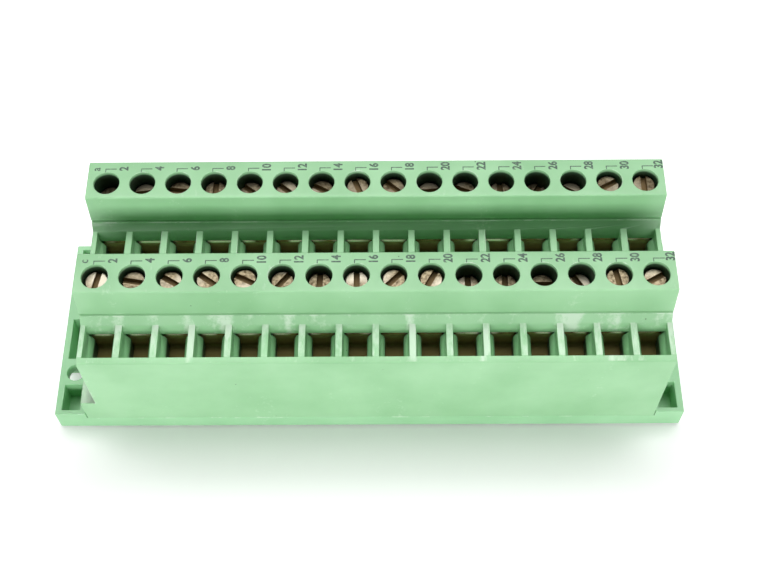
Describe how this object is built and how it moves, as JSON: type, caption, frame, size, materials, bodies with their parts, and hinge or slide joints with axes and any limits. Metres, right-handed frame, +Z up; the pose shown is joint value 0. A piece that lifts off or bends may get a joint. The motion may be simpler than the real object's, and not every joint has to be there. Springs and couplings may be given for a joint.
{
  "type": "pluggable terminal block plug",
  "caption": "Two-row pluggable screw terminal block plug: green housing with upward screw holes and wire windows on a flanged contact base.",
  "frame": {"origin": "middle of the flange's underside, on the floor", "axes": "+X along the rows of poles towards the highest number, +Y from the front wire ledge to the back row, +Z up, along the screws"},
  "size_m": [0.0928, 0.0292, 0.0274],
  "materials": {
    "green_plastic": "satin moulded polyamide, light green",
    "clamp_metal": "tarnished bronze strip",
    "leaf_metal": "dark tarnished spring bronze",
    "contact_metal": "plated brass",
    "screw_metal": "nickel plated, dulled"
  },
  "bodies": {
    "plug": {"terminal_housing": "green_plastic", "contact_base": "green_plastic", "clamp_frames_a": "clamp_metal", "clamp_frames_c": "clamp_metal", "pressure_leaves_a": "leaf_metal", "pressure_leaves_c": "leaf_metal", "contacts_a": "contact_metal", "contacts_c": "contact_metal"},
    "screw_a02": {"screw_a02": "screw_metal"},
    "screw_a04": {"screw_a04": "screw_metal"},
    "screw_a06": {"screw_a06": "screw_metal"},
    "screw_a08": {"screw_a08": "screw_metal"},
    "screw_a10": {"screw_a10": "screw_metal"},
    "screw_a12": {"screw_a12": "screw_metal"},
    "screw_a14": {"screw_a14": "screw_metal"},
    "screw_a16": {"screw_a16": "screw_metal"},
    "screw_a18": {"screw_a18": "screw_metal"},
    "screw_a20": {"screw_a20": "screw_metal"},
    "screw_a22": {"screw_a22": "screw_metal"},
    "screw_a24": {"screw_a24": "screw_metal"},
    "screw_a26": {"screw_a26": "screw_metal"},
    "screw_a28": {"screw_a28": "screw_metal"},
    "screw_a30": {"screw_a30": "screw_metal"},
    "screw_a32": {"screw_a32": "screw_metal"},
    "screw_c02": {"screw_c02": "screw_metal"},
    "screw_c04": {"screw_c04": "screw_metal"},
    "screw_c06": {"screw_c06": "screw_metal"},
    "screw_c08": {"screw_c08": "screw_metal"},
    "screw_c10": {"screw_c10": "screw_metal"},
    "screw_c12": {"screw_c12": "screw_metal"},
    "screw_c14": {"screw_c14": "screw_metal"},
    "screw_c16": {"screw_c16": "screw_metal"},
    "screw_c18": {"screw_c18": "screw_metal"},
    "screw_c20": {"screw_c20": "screw_metal"},
    "screw_c22": {"screw_c22": "screw_metal"},
    "screw_c24": {"screw_c24": "screw_metal"},
    "screw_c26": {"screw_c26": "screw_metal"},
    "screw_c28": {"screw_c28": "screw_metal"},
    "screw_c30": {"screw_c30": "screw_metal"},
    "screw_c32": {"screw_c32": "screw_metal"}
  },
  "joints": [
    {"name": "screw_a02_turn", "type": "hinge", "parent": "plug", "child": "screw_a02", "pos_m": [-0.03683, 0.01089, 0.0241], "axis": [0, 0, 1], "range_deg": [0, 1760]},
    {"name": "screw_a04_turn", "type": "hinge", "parent": "plug", "child": "screw_a04", "pos_m": [-0.03175, 0.01089, 0.0248], "axis": [0, 0, 1], "range_deg": [-560, 1200]},
    {"name": "screw_a06_turn", "type": "hinge", "parent": "plug", "child": "screw_a06", "pos_m": [-0.02667, 0.01089, 0.0253], "axis": [0, 0, 1], "range_deg": [-960, 800]},
    {"name": "screw_a08_turn", "type": "hinge", "parent": "plug", "child": "screw_a08", "pos_m": [-0.02159, 0.01089, 0.0253], "axis": [0, 0, 1], "range_deg": [-960, 800]},
    {"name": "screw_a10_turn", "type": "hinge", "parent": "plug", "child": "screw_a10", "pos_m": [-0.01651, 0.01089, 0.0251], "axis": [0, 0, 1], "range_deg": [-800, 960]},
    {"name": "screw_a12_turn", "type": "hinge", "parent": "plug", "child": "screw_a12", "pos_m": [-0.01143, 0.01089, 0.0253], "axis": [0, 0, 1], "range_deg": [-960, 800]},
    {"name": "screw_a14_turn", "type": "hinge", "parent": "plug", "child": "screw_a14", "pos_m": [-0.00635, 0.01089, 0.0254], "axis": [0, 0, 1], "range_deg": [-1040, 720]},
    {"name": "screw_a16_turn", "type": "hinge", "parent": "plug", "child": "screw_a16", "pos_m": [-0.00127, 0.01089, 0.026], "axis": [0, 0, 1], "range_deg": [-1520, 240]},
    {"name": "screw_a18_turn", "type": "hinge", "parent": "plug", "child": "screw_a18", "pos_m": [0.00381, 0.01089, 0.0258], "axis": [0, 0, 1], "range_deg": [-1360, 400]},
    {"name": "screw_a20_turn", "type": "hinge", "parent": "plug", "child": "screw_a20", "pos_m": [0.00889, 0.01089, 0.0248], "axis": [0, 0, 1], "range_deg": [-560, 1200]},
    {"name": "screw_a22_turn", "type": "hinge", "parent": "plug", "child": "screw_a22", "pos_m": [0.01397, 0.01089, 0.0249], "axis": [0, 0, 1], "range_deg": [-640, 1120]},
    {"name": "screw_a24_turn", "type": "hinge", "parent": "plug", "child": "screw_a24", "pos_m": [0.01905, 0.01089, 0.0247], "axis": [0, 0, 1], "range_deg": [-480, 1280]},
    {"name": "screw_a26_turn", "type": "hinge", "parent": "plug", "child": "screw_a26", "pos_m": [0.02413, 0.01089, 0.0243], "axis": [0, 0, 1], "range_deg": [-160, 1600]},
    {"name": "screw_a28_turn", "type": "hinge", "parent": "plug", "child": "screw_a28", "pos_m": [0.02921, 0.01089, 0.0245], "axis": [0, 0, 1], "range_deg": [-320, 1440]},
    {"name": "screw_a30_turn", "type": "hinge", "parent": "plug", "child": "screw_a30", "pos_m": [0.03429, 0.01089, 0.0261], "axis": [0, 0, 1], "range_deg": [-1600, 160]},
    {"name": "screw_a32_turn", "type": "hinge", "parent": "plug", "child": "screw_a32", "pos_m": [0.03937, 0.01089, 0.0262], "axis": [0, 0, 1], "range_deg": [-1680, 80]},
    {"name": "screw_c02_turn", "type": "hinge", "parent": "plug", "child": "screw_c02", "pos_m": [-0.03683, -0.00436, 0.026], "axis": [0, 0, 1], "range_deg": [-1520, 240]},
    {"name": "screw_c04_turn", "type": "hinge", "parent": "plug", "child": "screw_c04", "pos_m": [-0.03175, -0.00436, 0.0259], "axis": [0, 0, 1], "range_deg": [-1440, 320]},
    {"name": "screw_c06_turn", "type": "hinge", "parent": "plug", "child": "screw_c06", "pos_m": [-0.02667, -0.00436, 0.0259], "axis": [0, 0, 1], "range_deg": [-1440, 320]},
    {"name": "screw_c08_turn", "type": "hinge", "parent": "plug", "child": "screw_c08", "pos_m": [-0.02159, -0.00436, 0.0262], "axis": [0, 0, 1], "range_deg": [-1680, 80]},
    {"name": "screw_c10_turn", "type": "hinge", "parent": "plug", "child": "screw_c10", "pos_m": [-0.01651, -0.00436, 0.0263], "axis": [0, 0, 1], "range_deg": [-1760, 0]},
    {"name": "screw_c12_turn", "type": "hinge", "parent": "plug", "child": "screw_c12", "pos_m": [-0.01143, -0.00436, 0.0257], "axis": [0, 0, 1], "range_deg": [-1280, 480]},
    {"name": "screw_c14_turn", "type": "hinge", "parent": "plug", "child": "screw_c14", "pos_m": [-0.00635, -0.00436, 0.0253], "axis": [0, 0, 1], "range_deg": [-960, 800]},
    {"name": "screw_c16_turn", "type": "hinge", "parent": "plug", "child": "screw_c16", "pos_m": [-0.00127, -0.00436, 0.0257], "axis": [0, 0, 1], "range_deg": [-1280, 480]},
    {"name": "screw_c18_turn", "type": "hinge", "parent": "plug", "child": "screw_c18", "pos_m": [0.00381, -0.00436, 0.0261], "axis": [0, 0, 1], "range_deg": [-1600, 160]},
    {"name": "screw_c20_turn", "type": "hinge", "parent": "plug", "child": "screw_c20", "pos_m": [0.00889, -0.00436, 0.0261], "axis": [0, 0, 1], "range_deg": [-1600, 160]},
    {"name": "screw_c22_turn", "type": "hinge", "parent": "plug", "child": "screw_c22", "pos_m": [0.01397, -0.00436, 0.0244], "axis": [0, 0, 1], "range_deg": [-240, 1520]},
    {"name": "screw_c24_turn", "type": "hinge", "parent": "plug", "child": "screw_c24", "pos_m": [0.01905, -0.00436, 0.0246], "axis": [0, 0, 1], "range_deg": [-400, 1360]},
    {"name": "screw_c26_turn", "type": "hinge", "parent": "plug", "child": "screw_c26", "pos_m": [0.02413, -0.00436, 0.0245], "axis": [0, 0, 1], "range_deg": [-320, 1440]},
    {"name": "screw_c28_turn", "type": "hinge", "parent": "plug", "child": "screw_c28", "pos_m": [0.02921, -0.00436, 0.0246], "axis": [0, 0, 1], "range_deg": [-400, 1360]},
    {"name": "screw_c30_turn", "type": "hinge", "parent": "plug", "child": "screw_c30", "pos_m": [0.03429, -0.00436, 0.0261], "axis": [0, 0, 1], "range_deg": [-1600, 160]},
    {"name": "screw_c32_turn", "type": "hinge", "parent": "plug", "child": "screw_c32", "pos_m": [0.03937, -0.00436, 0.0259], "axis": [0, 0, 1], "range_deg": [-1440, 320]}
  ]
}
